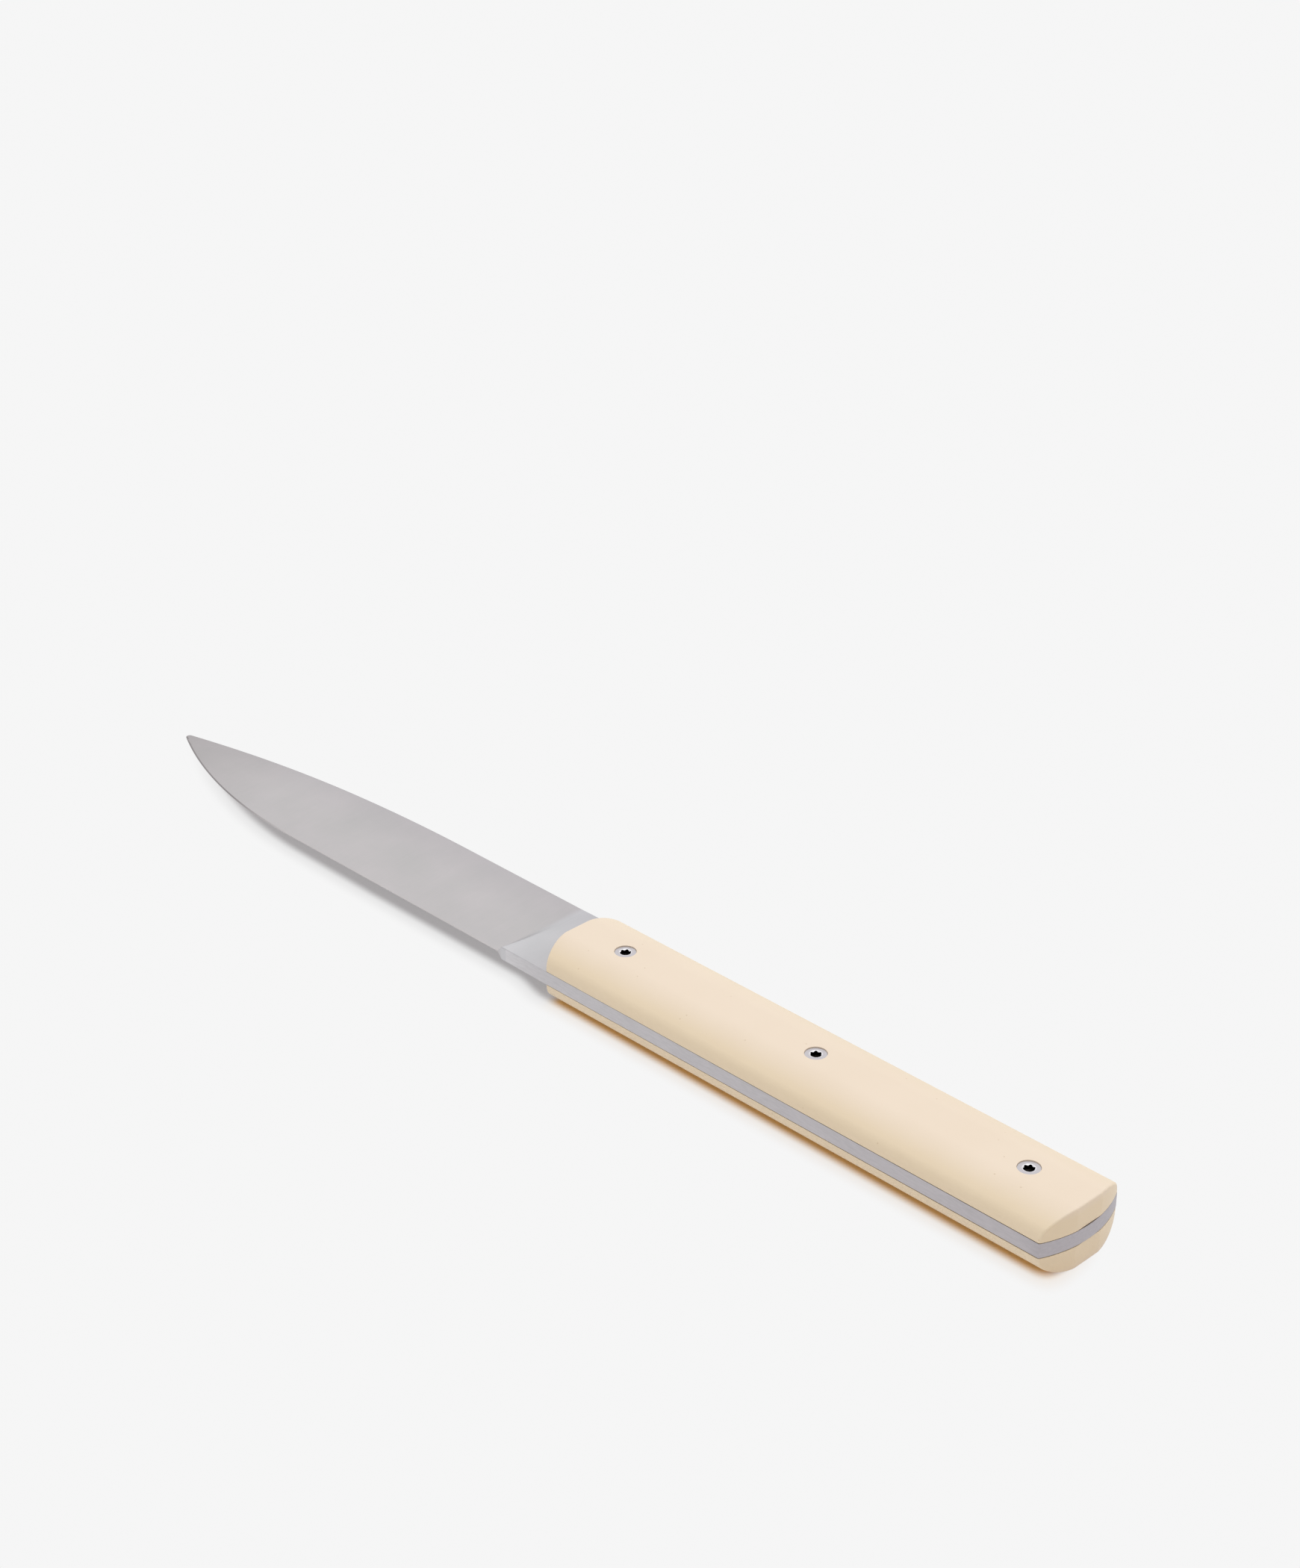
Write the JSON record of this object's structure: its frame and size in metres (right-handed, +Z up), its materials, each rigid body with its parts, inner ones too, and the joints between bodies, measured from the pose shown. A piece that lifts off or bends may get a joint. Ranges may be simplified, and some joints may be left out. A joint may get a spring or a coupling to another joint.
{
  "type": "table knife",
  "caption": "Table knife with a slim pointed blade, a full steel tang and smooth domed ivory scales, held from both sides by sunken screws.",
  "frame": {"origin": "centre of the knife's bounding box at its lowest face, where the lower scale rests on the table", "axes": "+X from the point to the butt, +Y from the cutting edge to the spine, +Z up through the thickness of the handle"},
  "size_m": [0.2141, 0.0178, 0.0107],
  "materials": {
    "blade_steel": "stainless steel, finely satin ground",
    "ivory_resin": "moulded ivory resin, smooth satin",
    "screw_steel": "stainless steel, turned heads"
  },
  "bodies": {
    "root": {"steel_blank": "blade_steel", "upper_scale": "ivory_resin", "lower_scale": "ivory_resin", "front_sleeve": "screw_steel", "middle_sleeve": "screw_steel", "rear_sleeve": "screw_steel", "front_upper_screw": "screw_steel", "middle_upper_screw": "screw_steel", "rear_upper_screw": "screw_steel", "front_lower_screw": "screw_steel", "middle_lower_screw": "screw_steel", "rear_lower_screw": "screw_steel"}
  },
  "joints": []
}
